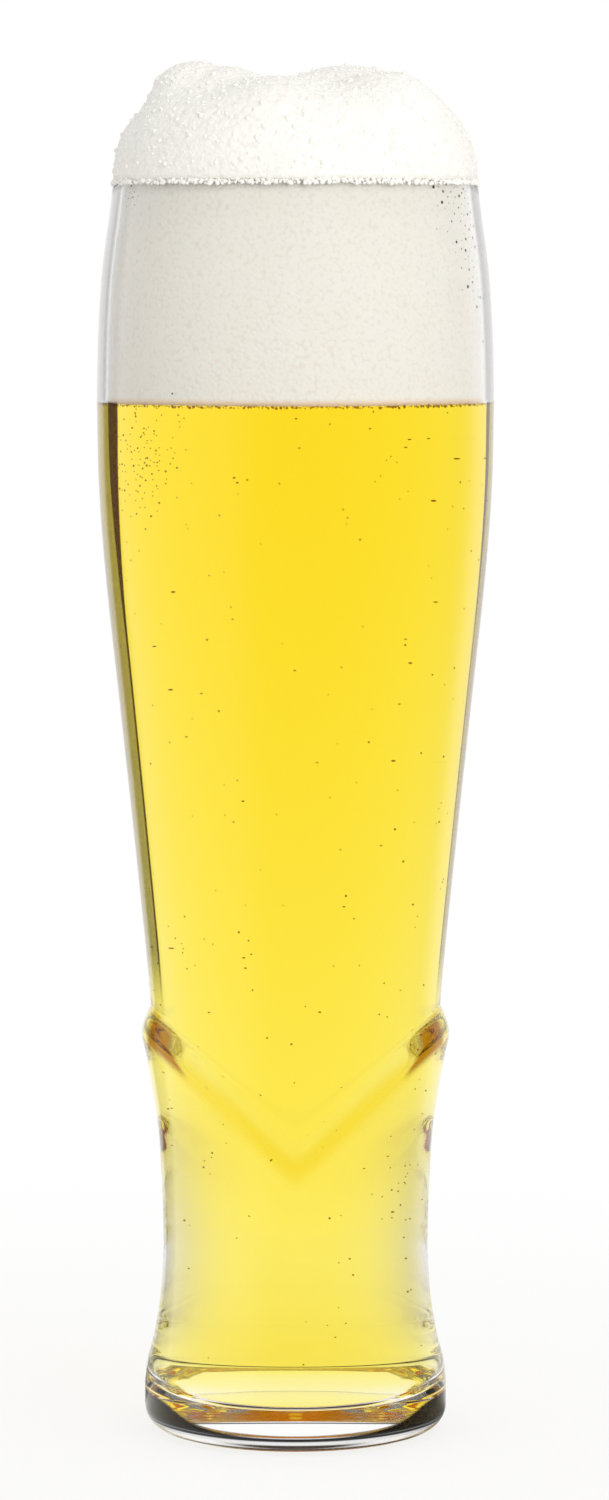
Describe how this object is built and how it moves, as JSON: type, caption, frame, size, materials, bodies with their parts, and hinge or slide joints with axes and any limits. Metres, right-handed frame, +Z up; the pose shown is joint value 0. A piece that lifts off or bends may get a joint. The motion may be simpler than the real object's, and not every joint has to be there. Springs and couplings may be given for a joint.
{
  "type": "weizen glass",
  "caption": "Tall wheat beer glass with a waist and a chevron relief, filled with beer under a high head of foam.",
  "frame": {"origin": "centre of the ring that the glass rests on, at the table", "axes": "+Z up along the glass's own axis, -Y towards the side on which a low point of the chevron shows, +X to the right"},
  "size_m": [0.0757, 0.0758, 0.2628],
  "materials": {
    "clear_glass": "polished",
    "wheat_beer": "gloss",
    "beer_foam": "matte"
  },
  "bodies": {
    "root": {"glass": "clear_glass", "beer": "wheat_beer", "foam_head": "beer_foam"}
  },
  "joints": []
}
